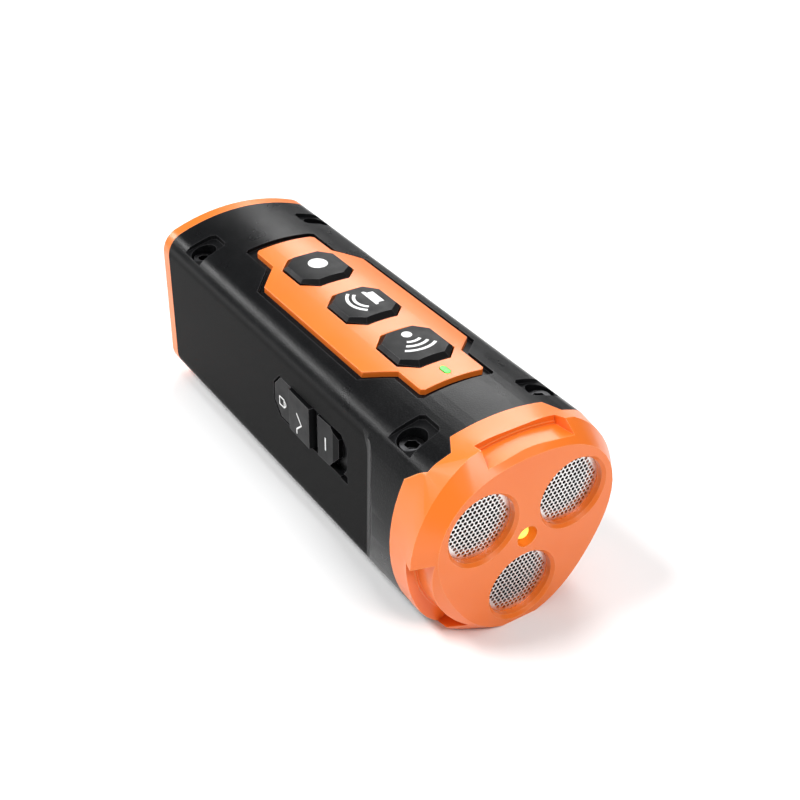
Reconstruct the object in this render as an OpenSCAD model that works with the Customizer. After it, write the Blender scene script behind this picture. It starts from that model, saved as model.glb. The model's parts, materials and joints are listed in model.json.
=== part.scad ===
// Hand-held ultrasonic dog trainer with a torch, in millimetres.
// X runs along the handle towards the emitters, Z is up through the buttons, the origin is under the middle.

/* [Body] */
// Length over both caps
body_len = 132; // [126:1:140]
// Width across the flat grip sides
body_w = 43; // [42:0.5:44]
// Width across the bulged neck and the front cap
neck_w = 50.6; // [49.5:0.1:51.5]
// Height of the shell, without the buttons
body_h = 47; // [46.5:0.1:47.5]
// Radius of the crowned top and bottom
crown_r = 49; // [46:1:56]
// Thickness of the shell
wall = 2; // [1.8:0.1:2.2]

/* [Buttons] */
// Distance between neighbouring buttons
button_pitch = 21.2; // [20.8:0.1:22]
// Length of a button along the handle
button_len = 15; // [14:0.1:15.4]
// Width of a button across the handle
button_wid = 14.6; // [13:0.1:15]

/* [Emitters] */
// Distance of each emitter from the centre line
emitter_pcd_r = 13.5; // [13.3:0.1:13.6]
// Radius of an emitter can
can_r = 8; // [7.8:0.1:8]

/* [Torch] */
// Radius of the torch opening
torch_r = 10.75; // [9.5:0.25:11]

/* [Lock slide] */
// Travel of the lock slide
slide_travel = 4; // [3:0.5:4]

/* [Hidden] */
$fn = 64;

// Sections
resting_land = 0.5;
half_h = (body_h + resting_land) / 2;
axis_z = body_h - half_h;
half_w = body_w / 2;
neck_half = neck_w / 2;
corner_r = 6.3;
neck_side_r = 36.5;
far = 200;

// Stations along the handle
x_front = body_len / 2;
x_rear = -body_len / 2;
rear_seam = x_rear + 5.5;
side_seam = x_front - 14;
tongue_seam = x_front - 13;
tab_seam = x_front - 9.2;
ramp_start = x_front - 28.5;
ramp_end = x_front - 19.5;
split_z = 4.5;
seam_gap = 0.12;

// Screws and posts
screw_xs = [x_rear + 17, x_front - 19.2];
screw_y = 16.6;
post_r = 2.6;
well_r = 3.3;
pocket_z = body_h - 4;
pocket_tilt = 16;
head_seat_z = 38.6;
boss_z = 35.2;

// Faceplate
plate_sunk = 1;
plate_proud = 0.5;
gutter = 1.6;
gutter_end = 3;
plate_rear = -36;
plate_tongue = 8.3;
plate_half = 14.1;

// Buttons, from the rear
button_first = 1.9 - button_pitch;
octagon_cut = 3.4;
button_gap = 0.35;
button_top = plate_proud + 1;
icon_depth = 0.25;
icon_proud = 0.04;
flange_top = 43.8;
flange_thick = 1.2;
flange_edge = 1.2;
board_top = 36.2;
board_thick = 1.6;
board_under = board_top - board_thick;
bevel_z = body_h + 0.25;
tact_h = 3.5;
plunger_top = 41.6;
indicator_x = 34.6;

// Lock slide, on the left flat
slide_z = 27.8;
slide_half = 5.5;
slide_x0 = -3.6;
slide_x1 = 24.8;
recess_gap = 0.35;
recess_floor = -19.7;
pad_y = -17.9;
slot_half = 1.6;
neck_x = 8;
neck_len = 5;
neck_half_z = 1.1;
clip_y = -17.6;
clip_thick = 1;
lever_x = 10.5;
switch_y = -14.2;
board_y = -10.4;

// Charging port, on the right flat
port_x = -38;
port_z = 25.6;
flap_half_z = 4.2;
flap_len = 13;
flap_thick = 1.4;
hinge_x = port_x - 6.6;
hinge_bead_r = 0.4;
socket_z = 1.65;

// Torch tube and rear cap
tube_r = 12.3;
rear_bevel = 2.2;

// Cell
cell_r = 9.2;
cell_x = -36;
cell_len = 65;
cell_z = 12.6;

// Emitters
ledge_x = x_front - 2.6;
mesh_r = can_r + 0.25;
well_clear = 0.1;
emitter_board_x = x_front - 14.4;

function arc(cx, cy, r, a0, a1, n) =
    [for (i = [0:n]) let (a = a0 + (a1 - a0) * i / n) [cx + r * cos(a), cy + r * sin(a)]];

// One quarter of the crowned section, from the side to the top; side radius 0 is a flat side
function quarter(hw, hh, rc, rs, rk) =
    let (
        top = hh - rc,
        flat_x = hw - rk,
        side = [hw - rs, 0],
        gap = [-side[0], top],
        d = norm(gap),
        a = (pow(rs - rk, 2) - pow(rc - rk, 2) + d * d) / (2 * d),
        h = sqrt(max(0, pow(rs - rk, 2) - a * a)),
        bulged = [side[0] + a * gap[0] / d - h * gap[1] / d, a * gap[1] / d + h * gap[0] / d],
        c = rs > 0 ? bulged : [flat_x, sqrt(pow(rc - rk, 2) - flat_x * flat_x) + top],
        a_side = rs > 0 ? atan2(c[1], c[0] - side[0]) : 0,
        a_top = atan2(c[1] - top, c[0]),
        side_pts = rs > 0 ? arc(side[0], 0, rs, 0, a_side, 6) : [[hw, 0]],
        corner_pts = arc(c[0], c[1], rk, a_side, a_top, 12),
        top_pts = arc(0, top, rc, a_top, 90, 7)
    )
    concat(
        rs > 0 ? [for (i = [0:5]) side_pts[i]] : side_pts,
        corner_pts,
        [for (i = [1:7]) top_pts[i]]
    );

function whole(q) =
    let (m = len(q) - 1)
    concat(
        q,
        [for (i = [m - 1:-1:0]) [-q[i][0], q[i][1]]],
        [for (i = [1:m]) [-q[i][0], -q[i][1]]],
        [for (i = [m - 1:-1:1]) [q[i][0], -q[i][1]]]
    );

module grip_2d(inset = 0)
    polygon(whole(quarter(half_w - inset, half_h - inset, crown_r - inset, 0, corner_r - inset)));

module neck_2d(inset = 0)
    polygon(whole(quarter(
        neck_half - inset, half_h - inset, crown_r - inset, neck_side_r - inset, corner_r - inset
    )));

// Extrudes a Y-Z outline, drawn about the centre line, between two stations
module along(x0, x1)
    translate([x0, 0, axis_z])
        rotate([90, 0, 90])
            linear_extrude(x1 - x0)
                children();

module upright(z0, z1)
    translate([0, 0, z0])
        linear_extrude(z1 - z0)
            children();

module box(x0, x1, y0, y1, z0, z1)
    translate([x0, y0, z0])
        cube([x1 - x0, y1 - y0, z1 - z0]);

// Cylinder along the handle, placed from the centre line
module rod(x0, x1, r, y = 0, z = 0)
    translate([x0, y, axis_z + z])
        rotate([0, 90, 0])
            cylinder(r = r, h = x1 - x0);

module pin(x, y, z0, z1, r)
    translate([x, y, z0])
        cylinder(r = r, h = z1 - z0);

// The crowned surface raised by a given amount, as a long bar
module crown_bar(raise)
    translate([x_rear - 2, 0, body_h - crown_r])
        rotate([0, 90, 0])
            cylinder(r = crown_r + raise, h = body_len + 4, $fn = 128);

module above_floor()
    intersection() {
        children();
        box(-far, far, -far, far, 0, far);
    }

// Plan of the seam between housing and front cap
module housing_plan(grow = 0)
    polygon([
        [rear_seam, -30], [side_seam + grow, -30], [side_seam + grow, -22], [tab_seam + grow, -19.7],
        [tab_seam + grow, -14.2], [tongue_seam + grow, -11.8], [tongue_seam + grow, 11.8],
        [tab_seam + grow, 14.2], [tab_seam + grow, 19.7], [side_seam + grow, 22],
        [side_seam + grow, 30], [rear_seam, 30]
    ]);

// Plan of the neck: the flat sides swell out smoothly to the full width
swell_steps = 12;
function swell_edge(s) = [
    for (i = [0:swell_steps])
        let (t = i / swell_steps, swell = neck_half + 0.1 - half_w)
        [ramp_start + (ramp_end - ramp_start) * t, s * (half_w + swell * pow(sin(90 * t), 2))]
];

module swell_plan()
    polygon(concat(
        [[0, -half_w + 1], [ramp_start - 0.1, -half_w + 1]],
        swell_edge(-1),
        [[x_front, -neck_half - 0.1], [x_front, neck_half + 0.1]],
        [for (i = [swell_steps:-1:0]) swell_edge(1)[i]],
        [[ramp_start - 0.1, half_w - 1], [0, half_w - 1]]
    ));

module shell_outer()
    above_floor()
        intersection() {
            union() {
                along(rear_seam, x_front)
                    grip_2d();
                intersection() {
                    along(ramp_start - 2, x_front)
                        neck_2d();
                    upright(-1, body_h + 1)
                        swell_plan();
                }
            }
            upright(-1, body_h + 1)
                housing_plan();
        }

module cavity() {
    along(rear_seam - 1, x_front)
        grip_2d(wall);
    along(x_front - 21, x_front)
        neck_2d(wall);
}

// Grooves that hold the ribs of the two caps
module cap_grooves() {
    along(rear_seam + 2.6, rear_seam + 4)
        grip_2d(wall - 0.8);
    intersection() {
        along(x_front - 19.8, x_front - 18.2)
            neck_2d(wall - 0.8);
        union() {
            box(0, x_front, -10.4, 10.4, 0, far);
            box(0, x_front, -far, far, axis_z - 9.4, axis_z + 9.4);
        }
    }
}

function octagon(hx, hy, c) = [
    [hx, hy - c], [hx - c, hy], [c - hx, hy], [-hx, hy - c],
    [-hx, c - hy], [c - hx, -hy], [hx - c, -hy], [hx, c - hy]
];

module button_2d(grow = 0)
    polygon(octagon(button_len / 2 + grow, button_wid / 2 + grow, octagon_cut + grow * 0.586));

// Oval light pipe beside the buttons
module indicator_2d(grow = 0)
    translate([indicator_x, 0]) {
        square([1.5, 1.5 + 2 * grow], center = true);
        for (s = [-1, 1])
            translate([s * 0.75, 0])
                circle(r = 0.75 + grow);
    }

module at_button(i)
    translate([button_first + i * button_pitch, 0])
        children();

// Plan of the faceplate: a wide middle and two narrow tongues
module plate_2d(side = 0, ends = 0)
    polygon([
        [plate_rear - ends, -plate_tongue - side + 0.8], [plate_rear - ends + 0.8, -plate_tongue - side],
        [-27 - side * 0.4, -plate_tongue - side], [-21 - side * 0.4, -plate_half - side],
        [23.4 + side * 0.4, -plate_half - side], [29 + side * 0.4, -plate_tongue - side],
        [38 + side - 0.8, -plate_tongue - side], [38 + side, -plate_tongue - side + 0.8],
        [38 + side, plate_tongue + side - 0.8], [38 + side - 0.8, plate_tongue + side],
        [29 + side * 0.4, plate_tongue + side], [23.4 + side * 0.4, plate_half + side],
        [-21 - side * 0.4, plate_half + side], [-27 - side * 0.4, plate_tongue + side],
        [plate_rear - ends + 0.8, plate_tongue + side], [plate_rear - ends, plate_tongue + side - 0.8]
    ]);

// Plan of the pocket around a screw; its floor slopes down towards the corner of the body
module pocket_2d()
    polygon([[-3.6, -4], [-2.6, -5], [2.4, -5], [3.4, -4.2], [4.8, 9], [-4.6, 9]]);

module screw_pockets()
    for (x = screw_xs)
        for (s = [-1, 1]) {
            translate([x, s * screw_y, pocket_z])
                scale([1, s, 1])
                    intersection() {
                        upright(-4, 6)
                            pocket_2d();
                        rotate([-pocket_tilt, 0, 0])
                            box(-10, 10, -15, 15, 0, 12);
                    }
            pin(x, s * screw_y, head_seat_z, body_h, well_r);
            pin(x, s * screw_y, boss_z - 1, body_h, 1.7);
        }

// Keeps the shell thick under the inner end of each pocket
module pocket_pads()
    for (x = screw_xs)
        for (s = [-1, 1])
            translate([x, 0, 0])
                scale([1, s, 1])
                    box(-4.6, 4.2, 10.6, screw_y, pocket_z - 1.4, pocket_z + 1.2);

// Room for the posts of the lower cover
module post_clearance()
    for (x = screw_xs)
        for (s = [-1, 1])
            pin(x, s * screw_y, 8, boss_z, post_r + 0.25);

module slide_2d(grow)
    polygon([
        [slide_x0 - grow, slide_half + grow - 3.2], [slide_x0 - grow + 3, slide_half + grow],
        [slide_x1 + grow - 2.4, slide_half + grow], [slide_x1 + grow, slide_half + grow - 2.6],
        [slide_x1 + grow, 3.3 - slide_half - grow], [slide_x1 + grow - 2.8, -slide_half - grow],
        [slide_x0 - grow + 3, -slide_half - grow], [slide_x0 - grow, 3.2 - slide_half - grow]
    ]);

// Draws an X-Z outline on a side face, between two depths across the handle
module across(y0, y1, z)
    translate([0, y1, z])
        rotate([90, 0, 0])
            linear_extrude(y1 - y0)
                children();

// The recess is the slider's outline stretched by its travel
module slide_recess() {
    for (step = [0, 0.5, 1])
        across(-far, recess_floor, slide_z)
            translate([step * slide_travel, 0])
                slide_2d(recess_gap);
    box(neck_x - 0.5, neck_x + neck_len + slide_travel + 0.5, -far, pad_y + 1,
        slide_z - slot_half, slide_z + slot_half);
    box(slide_x1 + 1.6, slide_x1 + slide_travel + 0.6, -far, recess_floor, slide_z - 6.2, slide_z - 4.2);
}

module port_openings() {
    box(hinge_x - 2.4, hinge_x + flap_len + 0.7, half_w - flap_thick - 0.1, far,
        port_z - flap_half_z - 0.35, port_z + flap_half_z + 0.35);
    across(half_w - 5, half_w + 1, port_z)
        polygon(octagon_at(port_x, 4.9, 2.1, 1.4));
}

function octagon_at(x, hx, hy, c) = [for (p = octagon(hx, hy, c)) [p[0] + x, p[1]]];

board_screw_xs = [-38.4, 40.2];
board_screw_y = 9.6;
wall_in = half_w - wall;

module upper_housing()
    color("dimgray")
        difference() {
            intersection() {
                shell_outer();
                union() {
                    difference() {
                        box(x_rear, x_front, -far, far, split_z, far);
                        cavity();
                    }
                    for (x = screw_xs)
                        for (s = [-1, 1])
                            pin(x, s * screw_y, boss_z, body_h, well_r + 0.9);
                    pocket_pads();
                    box(slide_x0 - 3, slide_x1 + slide_travel + 3, -far, pad_y, slide_z - 8.4, slide_z + 8);
                    box(hinge_x - 4, hinge_x + flap_len + 2, wall_in - 1.4, far, port_z - 6.4, port_z + 6.4);
                    for (x = board_screw_xs)
                        for (s = [-1, 1])
                            pin(x, s * board_screw_y, board_top, body_h - wall, 2.3);
                }
            }
            difference() {
                upright(body_h - 12, body_h + 2)
                    plate_2d(gutter, gutter_end);
                crown_bar(-plate_sunk);
            }
            for (i = [0:2])
                upright(body_h - 6, body_h + 2)
                    at_button(i)
                        button_2d(button_gap);
            upright(body_h - 6, body_h + 1)
                indicator_2d(0.15);
            screw_pockets();
            post_clearance();
            slide_recess();
            port_openings();
            cap_grooves();
            for (x = board_screw_xs)
                for (s = [-1, 1])
                    pin(x, s * board_screw_y, board_top - 1, body_h - 4.4, 0.9);
        }

module saddle(x, top)
    difference() {
        box(x - 1, x + 1, -13, 13, 1.2, top);
        translate([x - 2, 0, cell_z])
            rotate([0, 90, 0])
                cylinder(r = cell_r + 0.15, h = 4);
    }

// Ring inside the seam, between two insets of the grip outline
module seam_lip(inset, z0, z1)
    intersection() {
        difference() {
            along(rear_seam + 6, ramp_start)
                grip_2d(inset);
            along(rear_seam, ramp_start + 1)
                grip_2d(wall + 0.9);
        }
        box(-far, far, -far, far, z0, z1);
    }

// Screw posts, cell saddles, cell stops and the pins under the charging board
module cover_posts() {
    for (x = screw_xs)
        for (s = [-1, 1])
            pin(x, s * screw_y, 1, boss_z - 0.2, post_r);
    for (x = [cell_x + 7, cell_x + cell_len - 7])
        saddle(x, 13.5);
    for (x = [cell_x - 3.2, cell_x + cell_len + 3.6])
        box(x - 0.9, x + 0.9, -9, 9, 0.8, 16);
    for (x = [port_x - 5, port_x + 8])
        pin(x, 12.4, 1, port_z - 2.87, 1.9);
}

module lower_cover()
    color("dimgray")
        difference() {
            union() {
                intersection() {
                    shell_outer();
                    union() {
                        difference() {
                            box(x_rear, x_front, -far, far, -1, split_z - seam_gap);
                            cavity();
                        }
                        intersection() {
                            cover_posts();
                            union() {
                                box(-far, far, -far, far, -1, split_z - seam_gap);
                                along(rear_seam, x_front)
                                    grip_2d(wall + 0.25);
                            }
                        }
                    }
                }
                seam_lip(wall - 0.1, 2.6, split_z - seam_gap);
                seam_lip(wall + 0.1, split_z - 0.5, split_z + 1.8);
            }
            cap_grooves();
            for (x = screw_xs)
                for (s = [-1, 1])
                    pin(x, s * screw_y, 16, boss_z + 1, 1.52);
        }

// The front cap swells from the neck's outline to a circle, then slopes back to the emitter face
neck_pts = whole(quarter(neck_half, half_h, crown_r, neck_side_r, corner_r));
cap_round_x = x_front - 9;
cap_edge_x = x_front - 4.2;
cap_edge_r = 26.7;
face_r = 23.9;
face_dip = 2.7;
taper_x = x_front - 7;

// Outline of the cap at a roundness from 0 to 1; the circle can dip between the emitters
function cap_outline(roundness, r, dip) = [
    for (p = neck_pts)
        let (
            turn = atan2(p[1], p[0]),
            round_r = r - dip * (1 - cos(3 * (turn - 30))) / 2,
            q = p * (1 - roundness) + p / norm(p) * round_r * roundness
        )
        [q[0], min(q[1], half_h)]
];

module cap_slice(x, outline)
    translate([x, 0, axis_z])
        rotate([90, 0, 90])
            linear_extrude(0.01)
                polygon(outline);

module front_solid() {
    along(side_seam - 3, cap_round_x)
        neck_2d();
    hull() {
        cap_slice(cap_round_x - 0.01, cap_outline(0, 0, 0));
        cap_slice(cap_edge_x - 0.01, cap_outline(1, cap_edge_r, 0));
    }
    hull() {
        cap_slice(cap_edge_x - 0.01, cap_outline(1, cap_edge_r, 0));
        cap_slice(x_front - 0.01, cap_outline(1, face_r, face_dip));
    }
}

emitter_dirs = [150, 30, 270];

module at_emitter(i)
    translate([0, emitter_pcd_r * cos(emitter_dirs[i]), emitter_pcd_r * sin(emitter_dirs[i])])
        children();

notch_x = x_front - 6.9;
notch_step = 0.6;
top_notch_half = 10.3;
top_notch_floor = half_h - 1.5;
low_notch_half = 11.2;
low_notch_floor = 23.4;
low_notch_turn = 116;

// A long notch between two emitters, with a narrow first step and a curved floor
module notch(turn, half, floor_r, curve_r)
    translate([0, 0, axis_z])
        rotate([turn, 0, 0])
            difference() {
                upright(floor_r - 4, 40)
                    polygon([
                        [notch_x, -half], [x_front + 1, -half - 0.6],
                        [x_front + 1, half + 1.6], [notch_x, half]
                    ]);
                translate([notch_x - 1, 0, floor_r - curve_r])
                    rotate([0, 90, 0])
                        cylinder(r = curve_r + notch_step, h = 1.25, $fn = 128);
                translate([notch_x - 1, 0, floor_r - curve_r])
                    rotate([0, 90, 0])
                        cylinder(r = curve_r, h = 12, $fn = 128);
            }

module front_cap()
    color("darkorange")
        difference() {
            union() {
                above_floor()
                    difference() {
                        front_solid();
                        upright(-1, body_h + 1)
                            housing_plan(seam_gap);
                    }
                // Plug inside the housing
                difference() {
                    along(side_seam - 0.6, taper_x)
                        neck_2d(wall + 0.1);
                    along(side_seam - 1, x_front)
                        neck_2d(wall + 1.6);
                }
                intersection() {
                    difference() {
                        along(x_front - 20.4, taper_x)
                            neck_2d(wall + 0.1);
                        along(x_front - 21, x_front)
                            neck_2d(wall + 1.6);
                    }
                    union() {
                        box(0, x_front, -10, 10, -far, far);
                        box(0, x_front, -far, far, axis_z - 9, axis_z + 9);
                    }
                }
                intersection() {
                    difference() {
                        along(x_front - 19.6, x_front - 18.4)
                            neck_2d(wall - 0.6);
                        along(x_front - 20, x_front)
                            neck_2d(wall + 1.6);
                    }
                    union() {
                        box(0, x_front, -10, 10, axis_z, far);
                        box(0, x_front, -far, far, axis_z - 9, axis_z + 9);
                    }
                }
            }
            // Hollow around the emitter holders, rounder behind the notches
            difference() {
                intersection() {
                    along(side_seam - 5, x_front - 3)
                        neck_2d(wall + 1.6);
                    union() {
                        box(0, notch_x - 1.5, -far, far, -far, far);
                        rod(0, x_front, low_notch_floor - 1.5);
                    }
                }
                for (i = [0:2])
                    at_emitter(i)
                        rod(x_front - 10, x_front, can_r + well_clear + 1.1);
            }
            for (i = [0:2])
                at_emitter(i) {
                    rod(emitter_board_x - 0.1, ledge_x - 1, can_r + well_clear);
                    rod(x_front - 12, x_front, can_r - 0.6);
                    rod(ledge_x, x_front + 1, mesh_r + 0.05);
                    translate([x_front - 0.7, 0, axis_z])
                        rotate([0, 90, 0])
                            cylinder(r1 = mesh_r + 0.05, r2 = mesh_r + 0.85, h = 0.8);
                }
            rod(x_front - 4, x_front + 1, 2.6);
            notch(0, top_notch_half, top_notch_floor, crown_r);
            for (s = [-1, 1])
                notch(s * low_notch_turn, low_notch_half, low_notch_floor, low_notch_floor);
        }

module rear_face_cut()
    translate([x_rear - 1, 0, axis_z])
        rotate([0, 90, 0])
            rotate_extrude($fn = 96)
                polygon([
                    [0, 0], [torch_r + 6.4, 0], [torch_r + 6.2, 1],
                    [torch_r + 4.6, 1.25], [torch_r + 3.1, 1.8],
                    [torch_r + 1.8, 2.7], [torch_r + 0.9, 3.7], [torch_r + 0.3, 4.9], [torch_r, 5.5], [0, 5.5]
                ]);

rear_notch_half = 10;
rear_scale = 1 - rear_bevel / half_h;
module rear_notches() {
    for (s = [-1, 1]) {
        box(x_rear - 1, x_rear + 1.5, -rear_notch_half, rear_notch_half,
            axis_z + (s > 0 ? half_h - 4.4 : -half_h), axis_z + (s > 0 ? half_h : 4.4 - half_h));
        box(x_rear - 1, x_rear + 1.5, s > 0 ? half_w - 4.4 : -half_w, s > 0 ? half_w : 4.4 - half_w,
            axis_z - rear_notch_half, axis_z + rear_notch_half);
    }
}

module rear_cap()
    color("darkorange")
        difference() {
            union() {
                above_floor()
                    union() {
                        along(x_rear + rear_bevel, rear_seam - seam_gap)
                            grip_2d();
                        translate([x_rear + rear_bevel, 0, axis_z])
                            rotate([90, 0, -90])
                                linear_extrude(rear_bevel, scale = rear_scale)
                                    grip_2d();
                    }
                difference() {
                    along(rear_seam - 1, rear_seam + 5)
                        grip_2d(wall + 0.1);
                    along(rear_seam - 1, rear_seam + 6)
                        grip_2d(wall + 1.5);
                }
                difference() {
                    along(rear_seam + 2.8, rear_seam + 3.8)
                        grip_2d(wall - 0.6);
                    along(rear_seam - 1, rear_seam + 6)
                        grip_2d(wall + 1.5);
                }
                rod(x_rear + 3, x_rear + 21, tube_r + 1.3);
            }
            rod(x_rear + 4.6, x_rear + 22, tube_r);
            difference() {
                along(x_rear + 4.6, rear_seam + 6)
                    grip_2d(wall + 1.5);
                rod(x_rear, x_rear + 22, tube_r + 1.2);
            }
            rod(x_rear - 1, x_rear + 5, torch_r);
            rear_face_cut();
            rear_notches();
        }

module faceplate()
    color("orange")
        difference() {
            intersection() {
                upright(body_h - 8, body_h + 2)
                    plate_2d();
                crown_bar(plate_proud);
            }
            crown_bar(-plate_sunk + 0.03);
            for (i = [0:2])
                upright(body_h - 9, body_h + 3)
                    at_button(i)
                        button_2d(button_gap);
            upright(body_h - 6, body_h + 1)
                indicator_2d(0.05);
        }

module indicator_lens()
    color("limegreen")
        intersection() {
            union() {
                upright(board_top + 1.2, body_h + 2)
                    indicator_2d();
                pin(indicator_x, 0, body_h - wall - 1.4, body_h - wall - 0.1, 2);
            }
            crown_bar(plate_proud + 0.1);
        }

// Cuts one slanted face of the bevel, at a turn and a distance from the button's middle
module bevel_cut(turn, reach)
    rotate([0, 0, turn])
        translate([reach, 0, bevel_z])
            rotate([0, -45, 0])
                translate([0, -10, -4])
                    cube([6, 20, 10]);

// One eight-sided button, its bevel, its flange under the housing and its stem
module button(i)
    color("#222222")
        difference() {
            intersection() {
                union() {
                    upright(flange_top - flange_thick, body_h + 3)
                        at_button(i)
                            button_2d();
                    upright(flange_top - flange_thick, flange_top)
                        at_button(i)
                            button_2d(flange_edge);
                    pin(button_first + i * button_pitch, 0, plunger_top, flange_top, 2.2);
                }
                crown_bar(button_top);
            }
            translate([button_first + i * button_pitch, 0, 0]) {
                for (turn = [0, 180])
                    bevel_cut(turn, button_len / 2);
                for (turn = [90, 270])
                    bevel_cut(turn, button_wid / 2);
                for (turn = [45, 135, 225, 315])
                    bevel_cut(turn, (button_len / 2 + button_wid / 2 - octagon_cut) * sqrt(0.5));
            }
            difference() {
                upright(body_h - 1, body_h + 3)
                    at_button(i)
                        icon_2d(i);
                crown_bar(button_top - icon_depth);
            }
        }

module ring_2d(r, width, a0, a1)
    polygon(concat(arc(0, 0, r + width / 2, a0, a1, 16), arc(0, 0, r - width / 2, a1, a0, 16)));

// The white symbols: a dot, a beacon with two waves, a dot with three waves
module icon_2d(i)
    if (i == 0)
        translate([-0.6, 0.3])
            circle(r = 2.45);
    else if (i == 1) {
        translate([-0.6, 1.6])
            polygon([
                [-3.3, 0], [3.3, 0], [3.3, 0.6], [2.5, 1.1], [2.5, 2.7],
                [-2.5, 2.7], [-2.5, 1.1], [-3.3, 0.6]
            ]);
        translate([-0.5, 2.3])
            for (r = [4.2, 5.75])
                ring_2d(r, 0.75, -139, -41);
    } else
        translate([-3.6, 0.1]) {
            circle(r = 1.22);
            for (r = [3.2, 5, 6.8])
                ring_2d(r, 0.72, -30 - r, 30 + r);
        }

module icon(i)
    color("white")
        difference() {
            intersection() {
                upright(body_h - 1, body_h + 3)
                    at_button(i)
                        icon_2d(i);
                crown_bar(button_top + icon_proud);
            }
            crown_bar(button_top - icon_depth);
        }

module tact(i)
    color("silver")
        difference() {
            translate([button_first + i * button_pitch - 3, -3, board_top])
                cube([6, 6, tact_h]);
            pin(button_first + i * button_pitch, 0, board_top + 0.8, board_top + 6, 1.85);
        }

module plunger(i)
    color("#333333")
        pin(button_first + i * button_pitch, 0, board_top + 1.7, plunger_top, 1.75);

// Plan of the slider: low rear step, raised middle, finger groove, front step
module slider_plan(shift = 0)
    translate([0, shift])
        polygon([
            [slide_x0, recess_floor - 0.1], [slide_x0, -half_w + 0.1], [4.4, -half_w + 0.1],
            [4.6, -half_w - 0.7], [14.2, -half_w - 1], [14.6, -half_w + 1], [16.8, -half_w + 1],
            [17.2, -half_w - 0.4], [slide_x1 - 1.4, -half_w - 0.2], [slide_x1, -half_w + 0.5],
            [slide_x1, recess_floor - 0.1]
        ]);

// A line of a given width through a list of points
module stroke_2d(points, width)
    for (k = [0:len(points) - 2]) {
        d = points[k + 1] - points[k];
        translate(points[k])
            rotate(atan2(d[1], d[0]))
                translate([0, -width / 2])
                    square([norm(d), width]);
        translate(points[k + 1])
            circle(r = width / 2);
    }

// Padlock, chevron and bar
module slider_marks_2d() {
    stroke_2d([[0.8, -0.1], [0.8, -2.3], [-1.4, -2.3], [-1.4, -0.1], [0.8, -0.1]], 0.32);
    translate([0.8, -1.2])
        ring_2d(0.8, 0.32, -90, 90);
    stroke_2d([[8.3, 1], [10.6, -1.3], [8.3, -3.4], [8.3, -4.6]], 0.38);
    stroke_2d([[20.4, 1.2], [20.4, -2.1]], 0.42);
}

module mark_bars()
    across(-half_w - 3, recess_floor, slide_z)
        slider_marks_2d();

module slider_block(shift = 0)
    upright(slide_z - slide_half - 1, slide_z + slide_half + 1)
        slider_plan(shift);

module lock_slider()
    color("#262626")
        difference() {
            union() {
                intersection() {
                    slider_block();
                    across(-half_w - 3, recess_floor, slide_z)
                        slide_2d(0);
                }
                box(neck_x, neck_x + neck_len, recess_floor - 0.5, clip_y + clip_thick,
                    slide_z - neck_half_z, slide_z + neck_half_z);
            }
            difference() {
                mark_bars();
                slider_block(icon_depth);
            }
        }

module slider_marks()
    color("white")
        difference() {
            intersection() {
                mark_bars();
                slider_block(-icon_proud);
            }
            slider_block(icon_depth);
        }

module slider_clip()
    color("#555555")
        difference() {
            box(neck_x - 3.5, neck_x + neck_len + 3.5, clip_y, clip_y + clip_thick,
                slide_z - 3.6, slide_z + 3.6);
            box(neck_x, neck_x + neck_len, clip_y - 1, clip_y + 2,
                slide_z - neck_half_z, slide_z + neck_half_z);
        }

module switch_lever()
    color("white")
        box(lever_x - 1, lever_x + 1, clip_y + clip_thick, switch_y + 1.8,
            slide_z - 0.7, slide_z + 0.7);

module slide_switch()
    color("silver")
        difference() {
            box(lever_x - 4.8, lever_x + slide_travel + 4.8, switch_y, board_y, slide_z - 2.2, slide_z + 2.2);
            box(lever_x - 1.4, lever_x + slide_travel + 1.4, switch_y - 1, switch_y + 2.2,
                slide_z - 1.05, slide_z + 1.05);
        }

module switch_board()
    color("seagreen")
        box(lever_x - 9, lever_x + 13, board_y, board_y + 1.2, slide_z - 3.2, board_under);

module housing_screws()
    color("#1c1c1c")
        for (x = screw_xs)
            for (s = [-1, 1])
                difference() {
                    union() {
                        pin(x, s * screw_y, head_seat_z, head_seat_z + 3, 2.75);
                        pin(x, s * screw_y, head_seat_z - 18, head_seat_z, 1.5);
                    }
                    translate([x, s * screw_y, head_seat_z + 1.2])
                        cylinder(r = 1.6, h = 3, $fn = 6);
                }

module board_screws()
    color("silver")
        for (x = board_screw_xs)
            for (s = [-1, 1])
                difference() {
                    union() {
                        pin(x, s * board_screw_y, board_under - 1.2, board_under, 1.8);
                        pin(x, s * board_screw_y, board_under, board_top + 5, 0.88);
                    }
                    for (turn = [0, 90])
                        translate([x, s * board_screw_y, board_under - 1.2])
                            rotate([0, 0, turn])
                                cube([2, 0.5, 1.2], center = true);
                }

module main_board()
    color("seagreen")
        difference() {
            box(-42, 43, -13, 13, board_under, board_top);
            for (x = board_screw_xs)
                for (s = [-1, 1])
                    pin(x, s * board_screw_y, board_top - 3, board_top + 1, 1);
        }

module controller_chip()
    color("#1f1f1f")
        translate([button_first + button_pitch / 2 - 3, -3, board_top])
            cube([6, 6, 1.2]);

module drive_coils()
    color("saddlebrown")
        for (y = [-8.5, 0, 8.5])
            union() {
                pin(35, y, board_under - 8, board_under, 2.4);
                pin(35, y, board_under - 8, board_under - 7, 3.2);
                pin(35, y, board_under - 1, board_under, 3.2);
            }

module board_capacitors()
    color("navy")
        for (x = [-6, 1, 8])
            pin(x, 9, board_under - 8, board_under, 2.5);

module indicator_led()
    color("white")
        box(indicator_x - 0.8, indicator_x + 0.8, -0.6, 0.6, board_top, board_top + 1);

module charge_board()
    color("seagreen")
        box(port_x - 7, port_x + 10, -5, 18, port_z - socket_z - 1.2, port_z - socket_z);

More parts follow.
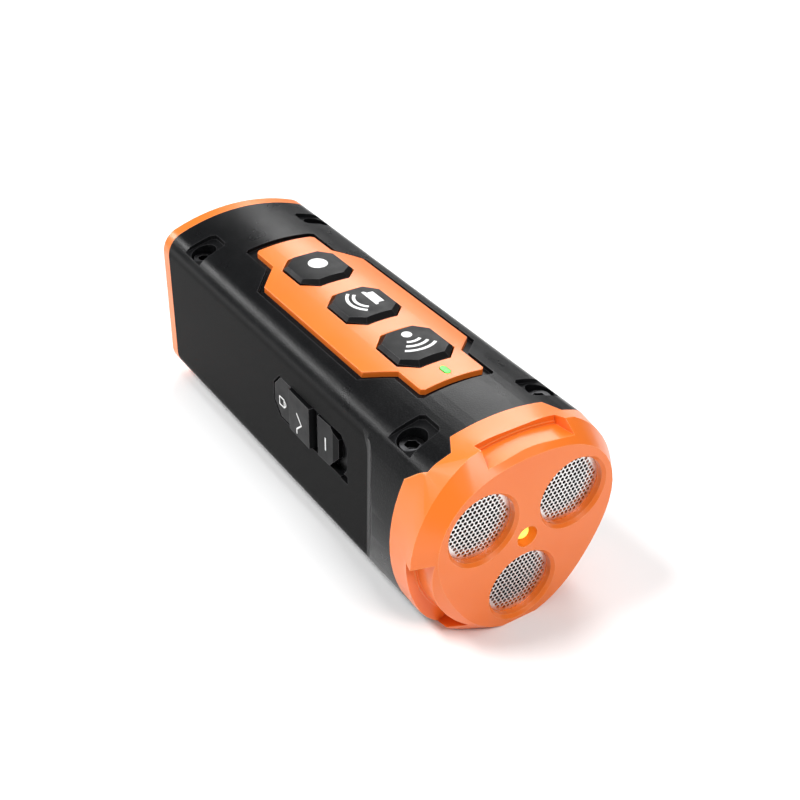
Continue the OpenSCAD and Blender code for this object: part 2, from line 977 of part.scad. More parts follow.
module charge_socket()
    color("silver")
        union() {
            difference() {
                across(11.5, wall_in, port_z)
                    polygon(octagon_at(port_x, 4.5, socket_z, 1.1));
                across(12.5, wall_in + 1, port_z)
                    polygon(octagon_at(port_x, 4.15, socket_z - 0.35, 0.9));
            }
            box(port_x - 3.3, port_x + 3.3, 12.2, wall_in - 1, port_z - 0.35, port_z + 0.35);
        }

module port_flap()
    color("#303030")
        difference() {
            union() {
                box(hinge_x + 0.3, hinge_x + flap_len, half_w - flap_thick, half_w,
                    port_z - flap_half_z, port_z + flap_half_z);
                pin(hinge_x, half_w, port_z - flap_half_z, port_z + flap_half_z, hinge_bead_r);
            }
            // Finger notch at the free end
            box(hinge_x + flap_len - 1.2, hinge_x + flap_len + 1, half_w - 0.7, half_w + 1,
                port_z - 2.2, port_z + 2.2);
        }

module flap_anchor()
    color("#303030")
        difference() {
            box(hinge_x - 2.2, hinge_x, half_w - flap_thick, half_w,
                port_z - flap_half_z, port_z + flap_half_z);
            pin(hinge_x, half_w, port_z - flap_half_z - 1, port_z + flap_half_z + 1, hinge_bead_r + 0.08);
        }

module battery_cell()
    color("steelblue")
        translate([0, 0, cell_z - axis_z])
            difference() {
                union() {
                    rod(cell_x, cell_x + cell_len, cell_r);
                    rod(cell_x + cell_len - 1, cell_x + cell_len + 1, 3);
                }
                difference() {
                    rod(cell_x + cell_len - 2.4, cell_x + cell_len - 1.4, cell_r + 1);
                    rod(cell_x + cell_len - 3, cell_x + cell_len, cell_r - 0.4);
                }
            }

module battery_tabs()
    color("silver") {
        box(cell_x - 0.4, cell_x - 0.02, -8, 3, cell_z - 3, cell_z + 7);
        box(cell_x + cell_len + 1.02, cell_x + cell_len + 1.4, -4, 4, cell_z - 3, cell_z + 7);
    }

module battery_foam()
    color("#404040")
        difference() {
            box(-23, -13, -6, 6, cell_z + 5, board_under - 0.02);
            translate([-24, 0, cell_z])
                rotate([0, 90, 0])
                    cylinder(r = cell_r + 0.02, h = 12);
        }

module emitter_board()
    color("seagreen")
        difference() {
            rod(emitter_board_x, emitter_board_x + 1.6, 20);
            for (i = [0:2])
                for (s = [-1, 1])
                    at_emitter(i)
                        rod(emitter_board_x - 1, emitter_board_x + 3, 0.5, 0, s * 3);
        }

// Open metal can of an emitter
module can(i)
    color("silver")
        at_emitter(i)
            difference() {
                rod(emitter_board_x + 2.2, ledge_x - 1, can_r);
                rod(emitter_board_x + 2, ledge_x - 1.6, can_r - 0.6);
                rod(emitter_board_x, ledge_x, can_r - 1.2);
            }

module base(i)
    color("#2b2b2b")
        at_emitter(i)
            union() {
                rod(emitter_board_x + 1.6, emitter_board_x + 4, can_r - 0.62);
                rod(emitter_board_x + 4, emitter_board_x + 5, 3);
                for (s = [-1, 1])
                    rod(emitter_board_x - 1.5, emitter_board_x + 2, 0.4, 0, s * 3);
            }

module cone(i)
    color("lightgray")
        at_emitter(i)
            union() {
                rod(emitter_board_x + 5, emitter_board_x + 6, 4.5);
                translate([emitter_board_x + 6, 0, axis_z])
                    rotate([0, 90, 0])
                        difference() {
                            cylinder(r1 = 1.6, r2 = 5.6, h = 2.8);
                            translate([0, 0, 0.5])
                                cylinder(r1 = 1.2, r2 = 5.6, h = 2.8);
                        }
            }

mesh_pitch = 1.5;
mesh_rings = 5;
module mesh(i)
    color("gainsboro")
        at_emitter(i)
            difference() {
                rod(ledge_x + 0.02, ledge_x + 0.6, mesh_r);
                for (row = [-mesh_rings:mesh_rings])
                    for (k = [0:2 * mesh_rings - abs(row)])
                        translate([
                            ledge_x - 1,
                            (k - mesh_rings + abs(row) / 2) * mesh_pitch,
                            axis_z + row * mesh_pitch * 0.866
                        ])
                            rotate([0, 90, 0])
                                cylinder(r = 0.5, h = 3, $fn = 6);
            }

module centre_led()
    color("gold")
        union() {
            rod(x_front - 10, x_front - 2.8, 2);
            rod(x_front - 10, x_front - 9, 2.4);
            translate([x_front - 2.8, 0, axis_z])
                rotate([0, 90, 0])
                    rotate_extrude()
                        intersection() {
                            circle(r = 2);
                            square([3, 3]);
                        }
            for (s = [-1, 1])
                rod(emitter_board_x + 1.6, x_front - 9.5, 0.3, s * 1.27);
        }

lens_x = x_rear + 4.7;
cup_x = lens_x + 2.6;
cup_depth = 8.2;
cup_front = 10.6;
cup_back = 3.2;
function cup_d(k) = cup_depth * (1 - pow(1 - k / 10, 2));
function cup_r(d) = cup_back + (cup_front - cup_back) * sqrt(1 - d / cup_depth);
module torch_reflector()
    color("whitesmoke")
        translate([cup_x, 0, axis_z])
            rotate([0, 90, 0])
                rotate_extrude($fn = 96)
                    polygon(concat(
                        [for (k = [0:10]) [cup_r(cup_d(k)), cup_d(k)]],
                        [[cup_back + 0.9, cup_depth]],
                        [for (k = [9:-1:1]) [cup_r(cup_d(k)) + 0.9, cup_d(k) + 0.2]],
                        [[cup_front + 0.9, 0.8], [tube_r - 0.1, 0.8], [tube_r - 0.1, 0]]
                    ));

module torch_lens()
    color("aliceblue")
        rod(lens_x, lens_x + 1.5, tube_r - 0.1);

module lens_seal()
    color("#222222")
        translate([lens_x + 2.05, 0, axis_z])
            rotate([0, 90, 0])
                rotate_extrude($fn = 64)
                    translate([11.5, 0])
                        circle(r = 0.54, $fn = 24);

board_x = cup_x + cup_depth + 0.1;
module torch_led()
    color("lemonchiffon")
        union() {
            translate([board_x - 0.9, -1.7, axis_z - 1.7])
                cube([0.9, 3.4, 3.4]);
            translate([board_x - 0.9, 0, axis_z])
                rotate([0, -90, 0])
                    rotate_extrude()
                        intersection() {
                            circle(r = 1.5);
                            square([3, 3]);
                        }
        }

module torch_board()
    color("gainsboro")
        rod(board_x, board_x + 1.4, 10);

module torch_heatsink()
    color("silver")
        difference() {
            rod(board_x + 1.4, board_x + 5, tube_r - 0.1);
            for (y = [-8, -4, 0, 4, 8])
                box(board_x + 3, board_x + 6, y - 1, y + 1, 0, far);
        }

// A lead that runs through corner points
module lead(points, r = 0.45) {
    for (k = [0:len(points) - 2]) {
        a = points[k];
        d = points[k + 1] - a;
        translate(a)
            rotate([0, acos(d[2] / norm(d)), atan2(d[1], d[0])])
                cylinder(r = r, h = norm(d), $fn = 16);
    }
    for (k = [1:1:len(points) - 2])
        translate(points[k])
            sphere(r = r, $fn = 12);
}

board_edge_z = board_top - 0.8;
tab_x = cell_x + cell_len + 1.85;
module leads()
    color("crimson") {
        lead([[cell_x - 0.85, -7, cell_z + 4], [cell_x - 0.85, -7, board_under]]);
        lead([[tab_x, 3, cell_z + 4], [tab_x, 3, board_under]]);
        for (y = [-3, 3])
            lead([[board_x + 5, y * 0.67, axis_z + 6], [board_x + 6.6, y * 0.67, axis_z + 6],
                [board_x + 6.6, y * 0.67, board_edge_z], [-42, y * 0.67, board_edge_z]]);
        for (y = [-6, -2, 2, 6])
            lead([[43, y, board_edge_z], [emitter_board_x, y, board_edge_z]]);
    }

upper_housing();
lower_cover();
front_cap();
rear_cap();
faceplate();
indicator_lens();
button(0);  // button_sound
button(1);  // button_beacon
button(2);  // button_train
icon(0);  // icon_sound
icon(1);  // icon_beacon
icon(2);  // icon_train
plunger(0);  // plunger_sound
plunger(1);  // plunger_beacon
plunger(2);  // plunger_train
tact(0);  // tact_sound
tact(1);  // tact_beacon
tact(2);  // tact_train
lock_slider();
slider_marks();
slider_clip();
switch_lever();
slide_switch();
switch_board();
housing_screws();
board_screws();
main_board();
controller_chip();
drive_coils();
board_capacitors();
indicator_led();
charge_board();
charge_socket();
port_flap();
flap_anchor();
battery_cell();
battery_tabs();
battery_foam();
emitter_board();
can(0);  // can_left
can(1);  // can_right
can(2);  // can_bottom
cone(0);  // cone_left
cone(1);  // cone_right
cone(2);  // cone_bottom
base(0);  // base_left
base(1);  // base_right
base(2);  // base_bottom
mesh(0);  // mesh_left
mesh(1);  // mesh_right
mesh(2);  // mesh_bottom
centre_led();
torch_reflector();
torch_lens();
lens_seal();
torch_led();
torch_board();
torch_heatsink();
leads();
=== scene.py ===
"""Looks of the hand-held dog trainer: finishes, fine meshes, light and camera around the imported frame.

Everything is in metres, in the frame of the CAD model: +X towards the emitters, +Z up through the buttons.
"""

import json
import math

import bmesh
import bpy
from mathutils import Matrix, Vector


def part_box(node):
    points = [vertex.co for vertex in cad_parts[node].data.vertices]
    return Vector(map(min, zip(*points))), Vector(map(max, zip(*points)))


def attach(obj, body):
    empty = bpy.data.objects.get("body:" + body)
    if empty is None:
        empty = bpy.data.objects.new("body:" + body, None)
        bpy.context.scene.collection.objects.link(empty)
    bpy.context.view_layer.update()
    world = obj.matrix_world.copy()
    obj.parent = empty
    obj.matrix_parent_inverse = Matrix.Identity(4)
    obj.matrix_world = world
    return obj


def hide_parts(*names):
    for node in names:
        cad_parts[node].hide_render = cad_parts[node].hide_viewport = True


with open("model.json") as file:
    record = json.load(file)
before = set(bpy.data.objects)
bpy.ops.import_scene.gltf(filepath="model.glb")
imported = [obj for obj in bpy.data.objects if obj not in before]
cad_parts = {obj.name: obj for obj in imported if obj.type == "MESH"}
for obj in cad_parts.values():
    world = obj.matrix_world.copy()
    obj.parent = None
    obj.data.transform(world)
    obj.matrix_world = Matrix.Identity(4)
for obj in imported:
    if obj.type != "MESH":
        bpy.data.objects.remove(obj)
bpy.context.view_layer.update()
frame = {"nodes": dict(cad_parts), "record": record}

MM = 0.001
nodes = frame["nodes"]


# ---------------------------------------------------------------- materials


class Finish:
    """One Principled material, built in the object's own coordinates so that it rides with its body."""

    def __init__(self, name, color, roughness, **sockets):
        self.material = bpy.data.materials.new(name)
        self.material.use_nodes = True
        self.tree = self.material.node_tree
        self.shader = self.tree.nodes["Principled BSDF"]
        self.shader.inputs["Base Color"].default_value = (*color, 1)
        self.shader.inputs["Roughness"].default_value = roughness
        for socket, value in sockets.items():
            self.shader.inputs[socket.replace("_", " ")].default_value = value
        self.place = self.add("ShaderNodeTexCoord").outputs["Object"]
        self.color = color
        self.tint = None
        self.normal = None

    def add(self, kind, **settings):
        node = self.tree.nodes.new(kind)
        for key, value in settings.items():
            setattr(node, key, value)
        return node

    def join(self, source, target):
        self.tree.links.new(source, target)

    def noise(self, size, detail=2.0, stretch=(1, 1, 1)):
        """Cloudy noise whose features are about size metres across."""
        mapping = self.add("ShaderNodeMapping")
        mapping.inputs["Scale"].default_value = stretch
        self.join(self.place, mapping.inputs["Vector"])
        noise = self.add("ShaderNodeTexNoise")
        noise.inputs["Scale"].default_value = 1 / size
        noise.inputs["Detail"].default_value = detail
        self.join(mapping.outputs["Vector"], noise.inputs["Vector"])
        return noise.outputs["Fac"]

    def span(self, source, low, high, to_low, to_high):
        """Maps low..high of a value to to_low..to_high, and clamps it."""
        node = self.add("ShaderNodeMapRange")
        for socket, value in zip(("From Min", "From Max", "To Min", "To Max"), (low, high, to_low, to_high)):
            node.inputs[socket].default_value = value
        self.join(source, node.inputs["Value"])
        return node.outputs["Result"]

    def math(self, operation, a, b):
        node = self.add("ShaderNodeMath", operation=operation)
        for k, value in enumerate((a, b)):
            if isinstance(value, (int, float)):
                node.inputs[k].default_value = value
            else:
                self.join(value, node.inputs[k])
        return node.outputs["Value"]

    def edges(self, radius):
        """1 on sharp edges and 0 on flats, from how far a rounded normal leans away from the true one."""
        rounded = self.add("ShaderNodeBevel", samples=4)
        rounded.inputs["Radius"].default_value = radius
        true = self.add("ShaderNodeNewGeometry")
        dot = self.add("ShaderNodeVectorMath", operation="DOT_PRODUCT")
        self.join(rounded.outputs["Normal"], dot.inputs[0])
        self.join(true.outputs["Normal"], dot.inputs[1])
        return self.span(dot.outputs["Value"], 1.0, 0.8, 0.0, 1.0)

    def mix(self, amount, color):
        """Blends another colour over the one so far, by a value from 0 to 1."""
        node = self.add("ShaderNodeMix", data_type="RGBA")
        a, b = [s for s in node.inputs if s.type == "RGBA"]
        if self.tint is None:
            a.default_value = (*self.color, 1)
        else:
            self.join(self.tint, a)
        b.default_value = (*color, 1)
        self.join(amount, node.inputs[0])
        self.tint = [s for s in node.outputs if s.type == "RGBA"][0]
        self.join(self.tint, self.shader.inputs["Base Color"])
        return self

    def rough(self, source, low, high):
        """Varies the roughness between two values with a noise."""
        self.join(self.span(source, 0.3, 0.7, low, high), self.shader.inputs["Roughness"])
        return self

    def bump(self, source, depth, strength=1.0):
        """Adds a relief of the given depth in metres under what is there already."""
        node = self.add("ShaderNodeBump")
        node.inputs["Strength"].default_value = strength
        node.inputs["Distance"].default_value = depth
        self.join(source, node.inputs["Height"])
        if self.normal is not None:
            self.join(self.normal, node.inputs["Normal"])
        self.normal = node.outputs["Normal"]
        self.join(self.normal, self.shader.inputs["Normal"])
        return self


GRIP_SIDE = (20.6 * MM, 21.4 * MM)
GRIP_FRONT = 31 * MM
GRIP_TOP = 35 * MM
GRIP_CORNER = (6.7 * MM, 6.3 * MM)


def charcoal_plastic():
    """Satin charcoal shell with a fine moulded texture; the flat grips are coloured darker than the rest and made
    more matt.

    A grip is where the side is flat, up to a line that runs round its upper front corner in an arc.
    """
    f = Finish("charcoal_plastic", (0.0042, 0.0044, 0.0048), 0.3, Specular_IOR_Level=0.16)
    grain = f.noise(0.35 * MM, 3.0)
    split = f.add("ShaderNodeSeparateXYZ")
    f.join(f.place, split.inputs["Vector"])
    side = f.math("ABSOLUTE", split.outputs["Y"], 0.0)
    along = f.math("MAXIMUM", f.math("SUBTRACT", split.outputs["X"], GRIP_FRONT), 0.0)
    up = f.math("MAXIMUM", f.math("SUBTRACT", split.outputs["Z"], GRIP_TOP), 0.0)
    corner = f.math("SQRT", f.math("ADD", f.math("MULTIPLY", along, along), f.math("MULTIPLY", up, up)), 0.0)
    grip = f.math("MULTIPLY", f.span(side, *GRIP_SIDE, 0, 1), f.span(corner, *GRIP_CORNER, 0, 1))
    f.mix(f.span(f.noise(30 * MM), 0.35, 0.65, 0, 1), (0.0034, 0.0036, 0.004))
    f.mix(f.span(grain, 0.45, 0.75, 0, 0.35), (0.022, 0.022, 0.024))
    f.mix(grip, (0.002, 0.002, 0.0022))
    # painted highlight: the sharp edges are coloured paler, as if they caught the light
    f.mix(f.math("MULTIPLY", f.edges(0.35 * MM), 0.5), (0.09, 0.09, 0.094))
    cloud = f.span(f.noise(9 * MM, 3.0), 0.3, 0.7, 0.26, 0.35)
    f.join(f.math("MAXIMUM", cloud, f.math("MULTIPLY", grip, 0.72)), f.shader.inputs["Roughness"])
    return f.bump(grain, 0.05 * MM, 0.6).material


def orange_plastic():
    """Bright orange moulded plastic, nearly smooth, with a painted highlight that makes it a little paler on its
    edges.
    """
    f = Finish("orange_plastic", (0.93, 0.195, 0.018), 0.38, Coat_Weight=0.35, Coat_Roughness=0.2,
               Specular_IOR_Level=0.4)
    f.mix(f.span(f.noise(24 * MM), 0.35, 0.65, 0, 1), (0.91, 0.175, 0.015))
    # painted highlight: the edges are coloured a paler orange, as if they caught the light
    f.mix(f.math("MULTIPLY", f.edges(0.3 * MM), 0.5), (1.0, 0.52, 0.20))
    f.rough(f.noise(6 * MM, 4.0), 0.36, 0.44)
    return f.bump(f.noise(0.5 * MM, 2.0), 0.012 * MM, 0.35).material


def black_plastic():
    """Satin black of the buttons and the lock slide, with a finer grain than the shell."""
    f = Finish("black_plastic", (0.0045, 0.0045, 0.005), 0.4, Specular_IOR_Level=0.13)
    f.mix(f.span(f.noise(8 * MM), 0.35, 0.65, 0, 1), (0.0035, 0.0035, 0.004))
    # painted highlight: the sharp edges of the buttons and slide are coloured pale grey
    f.mix(f.math("MULTIPLY", f.edges(0.22 * MM), 0.8), (0.15, 0.15, 0.155))
    f.rough(f.noise(4 * MM, 3.0), 0.34, 0.46)
    return f.bump(f.noise(0.25 * MM, 2.0), 0.02 * MM, 0.4).material


def white_print():
    """White filled marks with a faint unevenness of ink."""
    f = Finish("white_print", (0.92, 0.92, 0.91), 0.45)
    f.mix(f.span(f.noise(1.2 * MM, 3.0), 0.4, 0.7, 0, 1), (0.80, 0.80, 0.79))
    f.rough(f.noise(0.6 * MM), 0.4, 0.55)
    return f.bump(f.noise(0.2 * MM), 0.01 * MM, 0.3).material


def plain_plastic(name, color, roughness=0.5):
    """Small inner mouldings: colour variation, grain and a painted highlight that makes the edges slightly paler.
    """
    f = Finish(name, color, roughness)
    f.mix(f.span(f.noise(5 * MM), 0.35, 0.65, 0, 1), tuple(0.8 * c for c in color))
    # painted highlight: the edges are coloured paler, as if they caught the light
    f.mix(f.math("MULTIPLY", f.edges(0.2 * MM), 0.3), tuple(min(1, 1.8 * c + 0.02) for c in color))
    f.rough(f.noise(2 * MM, 3.0), roughness - 0.08, roughness + 0.08)
    return f.bump(f.noise(0.2 * MM), 0.01 * MM, 0.4).material


def rubber_black():
    """Dull soft rubber."""
    f = Finish("rubber_black", (0.014, 0.014, 0.015), 0.72)
    f.mix(f.span(f.noise(3 * MM, 3.0), 0.35, 0.7, 0, 1), (0.022, 0.022, 0.023))
    f.rough(f.noise(2 * MM), 0.65, 0.8)
    return f.bump(f.noise(0.15 * MM, 3.0), 0.02 * MM, 0.5).material


def metal(name, color, roughness, stretch=(1, 1, 1), streak=0.3 * MM):
    """Metal with fine directional streaks and brighter edges, partly wear and partly a painted highlight."""
    f = Finish(name, color, roughness, Metallic=1.0)
    f.mix(f.span(f.noise(4 * MM, 3.0), 0.35, 0.65, 0, 1), tuple(0.85 * c for c in color))
    # brighter edges: partly wear, partly a painted highlight
    f.mix(f.math("MULTIPLY", f.edges(0.15 * MM), 0.5), tuple(min(1, 1.3 * c + 0.05) for c in color))
    f.rough(f.noise(1.5 * MM, 3.0, stretch), roughness - 0.06, roughness + 0.08)
    return f.bump(f.noise(streak, 2.0, stretch), 0.008 * MM, 0.3).material


def circuit_board():
    """Green solder mask over faint copper tracks that run along and across."""
    f = Finish("circuit_board", (0.012, 0.13, 0.045), 0.35, Coat_Weight=0.3)
    tracks = f.add("ShaderNodeTexBrick", offset=0.5)
    tracks.inputs["Scale"].default_value = 1 / (4 * MM)
    tracks.inputs["Mortar Size"].default_value = 0.08
    f.join(f.place, tracks.inputs["Vector"])
    f.mix(f.span(tracks.outputs["Fac"], 0, 1, 0, 0.6), (0.05, 0.26, 0.09))
    f.mix(f.span(f.noise(6 * MM), 0.35, 0.65, 0, 0.7), (0.01, 0.10, 0.035))
    f.rough(f.noise(1 * MM), 0.3, 0.42)
    return f.bump(tracks.outputs["Fac"], 0.03 * MM, 0.4).material


def glowing(name, color, light, strength, roughness=0.25):
    """Coloured resin with a painted glow: an emission makes it look lit from inside."""
    f = Finish(name, color, roughness, Emission_Strength=strength)
    f.shader.inputs["Emission Color"].default_value = (*light, 1)
    f.mix(f.span(f.noise(0.7 * MM, 2.0), 0.35, 0.65, 0, 1), tuple(0.75 * c for c in color))
    f.rough(f.noise(1 * MM), roughness - 0.05, roughness + 0.1)
    return f.bump(f.noise(0.4 * MM), 0.008 * MM, 0.3).material


def clear_lens():
    """Clear lens with the faintest haze."""
    f = Finish("lens_clear", (0.97, 0.985, 1.0), 0.03, Transmission_Weight=1.0, IOR=1.45)
    f.rough(f.noise(3 * MM, 3.0), 0.015, 0.05)
    return f.bump(f.noise(4 * MM), 0.004 * MM, 0.2).material


def chrome():
    """Vacuum metallised reflector with a slight orange peel."""
    f = Finish("reflector_chrome", (0.86, 0.87, 0.88), 0.08, Metallic=1.0)
    f.mix(f.span(f.noise(3 * MM, 2.0), 0.35, 0.65, 0, 0.6), (0.74, 0.75, 0.77))
    f.rough(f.noise(2 * MM, 3.0), 0.05, 0.14)
    return f.bump(f.noise(0.9 * MM, 2.0), 0.02 * MM, 0.25).material


FINISHES = {
    "charcoal_plastic": charcoal_plastic(),
    "orange_plastic": orange_plastic(),
    "black_plastic": black_plastic(),
    "white_print": white_print(),
    # painted glow: the indicator and the LEDs are given an emission so that they look lit
    "indicator_green": glowing("indicator_green", (0.03, 0.60, 0.02), (0.03, 0.8, 0.01), 0.5),
    "led_yellow": glowing("led_yellow", (0.55, 0.70, 0.10), (0.85, 0.95, 0.15), 0.8, 0.2),
    "led_clear": glowing("led_clear", (0.95, 0.92, 0.70), (1.0, 0.97, 0.85), 0.6, 0.3),
    "switch_plastic": plain_plastic("switch_plastic", (0.03, 0.03, 0.03)),
    "chip_black": plain_plastic("chip_black", (0.018, 0.018, 0.018), 0.55),
    "cell_wrap": plain_plastic("cell_wrap", (0.02, 0.10, 0.33), 0.3),
    "rubber_black": rubber_black(),
    "lead_rubber": plain_plastic("lead_rubber", (0.42, 0.02, 0.02), 0.55),
    "steel": metal("steel", (0.62, 0.62, 0.63), 0.28),
    "mesh_steel": metal("mesh_steel", (0.88, 0.88, 0.87), 0.36, streak=0.5 * MM),
    "black_screw_steel": metal("black_screw_steel", (0.035, 0.035, 0.037), 0.34),
    "coil_copper": metal("coil_copper", (0.75, 0.30, 0.14), 0.32, stretch=(1, 1, 14)),
    "capacitor_can": metal("capacitor_can", (0.06, 0.08, 0.22), 0.32),
    # painted shade: the cones are coloured near black so that the holes of the grilles look dark
    "cone_alloy": plain_plastic("cone_alloy", (0.006, 0.006, 0.007), 0.6),
    "alloy": metal("alloy", (0.78, 0.78, 0.79), 0.35, stretch=(1, 12, 1)),
    "reflector_chrome": chrome(),
    "lens_clear": clear_lens(),
    "circuit_board": circuit_board(),
}


def dress(obj, slot_name):
    """Gives a piece the finish of one of the record's material slots."""
    obj.data.materials.clear()
    obj.data.materials.append(FINISHES[slot_name])


# ---------------------------------------------------------------- the carried-over pieces

FEATURE_ANGLE = math.radians(24)
EDGE_ROUND = {
    "upper_housing": 0.22, "lower_cover": 0.2, "front_cap": 0.35, "rear_cap": 0.35, "faceplate": 0.28,
    "button_sound": 0.18, "button_beacon": 0.18, "button_train": 0.18, "lock_slider": 0.15,
    "housing_screws": 0.12, "port_flap": 0.2, "flap_anchor": 0.2,
}


def smooth(obj):
    """Smooth shading over welded triangles merged into their flat faces."""
    obj.data.polygons.foreach_set("use_smooth", [True] * len(obj.data.polygons))
    weld = obj.modifiers.new("weld", "WELD")
    weld.merge_threshold = 0.002 * MM
    flat = obj.modifiers.new("flat", "DECIMATE")
    flat.decimate_type = "DISSOLVE"
    flat.angle_limit = math.radians(0.5)


def round_edges(obj, width):
    """Breaks every sharp edge with a small radius, as moulded parts have."""
    bevel = obj.modifiers.new("edges", "BEVEL")
    bevel.width = width
    bevel.segments = 3
    bevel.limit_method = "ANGLE"
    bevel.angle_limit = FEATURE_ANGLE
    bevel.use_clamp_overlap = True
    bevel.miter_outer = "MITER_ARC"


def settle_normals(obj):
    """Splits what is still sharp, then lets the large faces decide the shading so that flats stay flat."""
    split = obj.modifiers.new("split", "EDGE_SPLIT")
    split.split_angle = math.radians(32)
    weighted = obj.modifiers.new("weighted", "WEIGHTED_NORMAL")
    weighted.mode = "FACE_AREA"
    weighted.weight = 100


for part in frame["record"]["subparts"]:
    piece = nodes[part["node"]]
    dress(piece, part["material_slot"])
    smooth(piece)
    if part["node"] in EDGE_ROUND:
        round_edges(piece, EDGE_ROUND[part["node"]] * MM)
    settle_normals(piece)


# ---------------------------------------------------------------- perforated emitter faces

HOLE_PITCH = 1.12 * MM
HOLE_RADIUS = 0.45 * MM
HOLE_SIDES = 12
RIM_GAP = 1.15
SHEET_THICKNESS = 0.12 * MM
SHEET_CROWN = 0.25 * MM


def perforated_disc(name, centre, radius):
    """A round sheet with staggered round holes, slightly crowned, facing +X."""
    bm = bmesh.new()
    rows = int(radius / (HOLE_PITCH * math.sqrt(3) / 2)) + 1
    key = {}

    def vertex(y, z):
        """One shared vertex for each place, pulled in to the rim when it lies outside."""
        reach = math.hypot(y, z)
        if reach > radius:
            y, z = y * radius / reach, z * radius / reach
            reach = radius
        tag = (round(y / (0.004 * MM)), round(z / (0.004 * MM)))
        if tag not in key:
            x = SHEET_CROWN * (1 - (reach / radius) ** 2)
            key[tag] = bm.verts.new(Vector((x, y, z)) + centre)
        return key[tag]

    def face(around):
        """A face through the vertices that are left once those pulled together count as one."""
        corners = list(dict.fromkeys(around))
        if len(corners) > 2:
            bm.faces.new(corners)

    corner = HOLE_PITCH / math.sqrt(3)
    for row in range(-rows, rows + 1):
        for k in range(-rows - 2, rows + 3):
            y0 = (k + 0.5 * (row % 2)) * HOLE_PITCH
            z0 = row * HOLE_PITCH * math.sqrt(3) / 2
            reach = math.hypot(y0, z0)
            if reach > radius + corner * 0.6:
                continue
            ring = []
            for s in range(HOLE_SIDES):
                a = 2 * math.pi * s / HOLE_SIDES + math.pi / 6
                d = corner if s % 2 == 0 else corner * math.cos(math.pi / 6)
                ring.append((y0 + d * math.cos(a), z0 + d * math.sin(a), a))
            outer = [vertex(y, z) for y, z, a in ring]
            if reach < radius - HOLE_RADIUS * RIM_GAP:
                inner = [vertex(y0 + HOLE_RADIUS * math.cos(a), z0 + HOLE_RADIUS * math.sin(a)) for y, z, a in ring]
                for s in range(HOLE_SIDES):
                    t = (s + 1) % HOLE_SIDES
                    face((outer[s], outer[t], inner[t], inner[s]))
            else:
                face(outer)
    bmesh.ops.recalc_face_normals(bm, faces=bm.faces)
    mesh = bpy.data.meshes.new(name)
    bm.to_mesh(mesh)
    bm.free()
    obj = bpy.data.objects.new(name, mesh)
    bpy.context.scene.collection.objects.link(obj)
    solid = obj.modifiers.new("thickness", "SOLIDIFY")
    solid.thickness = SHEET_THICKNESS
    solid.offset = -1
    return obj


for side in ("left", "right", "bottom"):
    low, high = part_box("mesh_" + side)
    middle = (low + high) / 2
    centre = Vector((high.x - SHEET_CROWN, middle.y, middle.z))
    disc = perforated_disc("grille_" + side, centre, (high.y - low.y) / 2)
    dress(disc, "mesh_steel")
    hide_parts("mesh_" + side)
    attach(disc, "housing")


# ---------------------------------------------------------------- floor, light and camera


def plane(name, size, place):
    """A square sheet lying flat, with a few spans so that it shades evenly."""
    bm = bmesh.new()
    bmesh.ops.create_grid(bm, x_segments=8, y_segments=8, size=size / 2)
    mesh = bpy.data.meshes.new(name)
    bm.to_mesh(mesh)
    bm.free()
    obj = bpy.data.objects.new(name, mesh)
    obj.location = place
    bpy.context.scene.collection.objects.link(obj)
    return obj


def paper():
    """Plain white table top, nearly matt, so that it stays white at low angles."""
    f = Finish("paper", (0.93, 0.93, 0.93), 0.5, Specular_IOR_Level=0.1)
    f.mix(f.span(f.noise(120 * MM), 0.35, 0.65, 0, 1), (0.92, 0.92, 0.92))
    f.rough(f.noise(60 * MM), 0.45, 0.55)
    return f.material


floor = plane("floor", 8.0, (0, 0, -0.02 * MM))
floor.data.materials.append(paper())


def softbox(name, place, target, size, power, color=(1, 1, 1)):
    """A rectangular soft light that looks at a point."""
    data = bpy.data.lights.new(name, "AREA")
    data.shape = "RECTANGLE"
    data.size, data.size_y = size
    data.energy = power
    data.color = color
    obj = bpy.data.objects.new(name, data)
    obj.location = place
    obj.rotation_euler = (Vector(target) - Vector(place)).to_track_quat("-Z", "Y").to_euler()
    bpy.context.scene.collection.objects.link(obj)


def distant(name, direction, width, power):
    """A broad light from far away, so that the table is as bright in the distance as it is close by."""
    data = bpy.data.lights.new(name, "SUN")
    data.energy = power
    data.angle = math.radians(width)
    obj = bpy.data.objects.new(name, data)
    obj.location = Vector(direction)
    obj.rotation_euler = (-Vector(direction)).to_track_quat("-Z", "Y").to_euler()
    bpy.context.scene.collection.objects.link(obj)


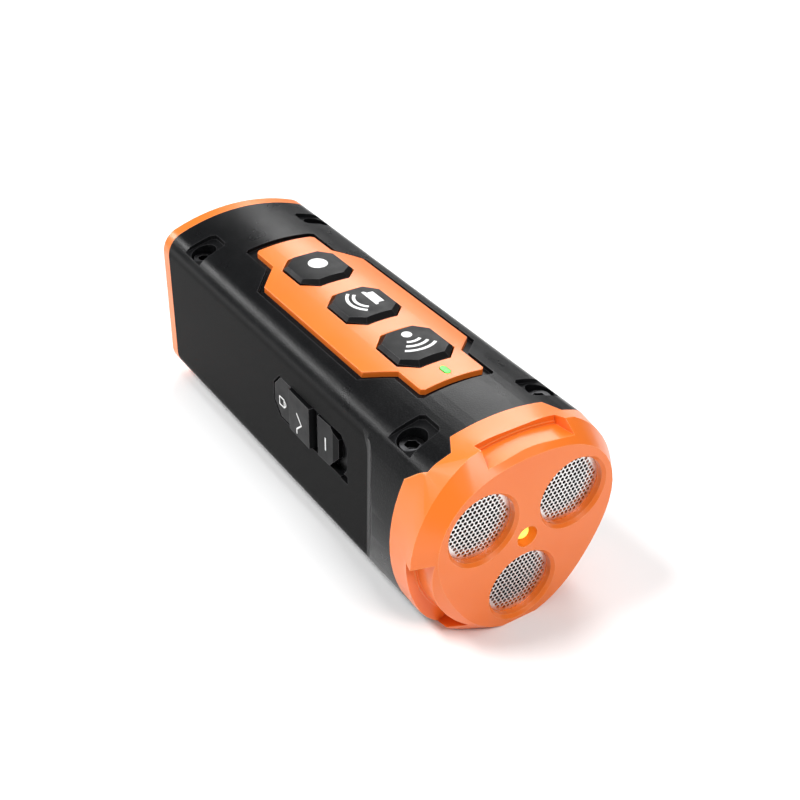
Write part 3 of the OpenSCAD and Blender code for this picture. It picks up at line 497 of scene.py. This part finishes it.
distant("key", (-0.20, -0.34, 0.60), 16, 1.8)
distant("top", (0.02, 0.20, 0.70), 55, 0.7)
softbox("left_strip", (-0.50, -0.42, 0.36), (0.0, -0.01, 0.03), (0.60, 0.10), 2.6)
softbox("sheen", (-0.345, 0.31, 0.385), (0.04, 0, 0.045), (0.32, 0.32), 1.8)
softbox("front_fill", (0.42, -0.02, 0.50), (0.06, 0, 0.02), (0.22, 0.22), 1.8)


def white_room():
    """Even pale surroundings; the camera sees them nearly white behind the floor."""
    world = bpy.data.worlds.new("room")
    world.use_nodes = True
    tree = world.node_tree
    tree.nodes.clear()
    out = tree.nodes.new("ShaderNodeOutputWorld")
    choose = tree.nodes.new("ShaderNodeMixShader")
    path = tree.nodes.new("ShaderNodeLightPath")
    glow = tree.nodes.new("ShaderNodeBackground")
    glow.inputs["Color"].default_value = (0.96, 0.98, 1.0, 1)
    glow.inputs["Strength"].default_value = 0.08
    seen = tree.nodes.new("ShaderNodeBackground")
    seen.inputs["Color"].default_value = (1, 1, 1, 1)
    seen.inputs["Strength"].default_value = 0.88
    tree.links.new(path.outputs["Is Camera Ray"], choose.inputs[0])
    tree.links.new(glow.outputs[0], choose.inputs[1])
    tree.links.new(seen.outputs[0], choose.inputs[2])
    tree.links.new(choose.outputs[0], out.inputs["Surface"])
    bpy.context.scene.world = world


white_room()


def make_camera(place, azimuth, elevation, roll, lens):
    a, e = math.radians(azimuth), math.radians(elevation)
    ahead = Vector((-math.sin(a) * math.cos(e), math.cos(a) * math.cos(e), -math.sin(e)))
    level = ahead.cross(Vector((0, 0, 1))).normalized()
    up = level.cross(ahead)
    right = math.cos(roll) * level + math.sin(roll) * up
    up = math.cos(roll) * up - math.sin(roll) * level
    data = bpy.data.cameras.new("camera")
    data.lens = lens
    data.sensor_width = 36
    data.clip_start = 0.01
    obj = bpy.data.objects.new("camera", data)
    obj.matrix_world = Matrix.Translation(place) @ Matrix((right, up, -ahead)).transposed().to_4x4()
    bpy.context.scene.collection.objects.link(obj)
    bpy.context.scene.camera = obj


make_camera(Vector((214.8, -134.4, 191.9)) * MM, 55.72, 34.19, 0.024, 55.88)
bpy.context.scene.view_settings.view_transform = "Standard"
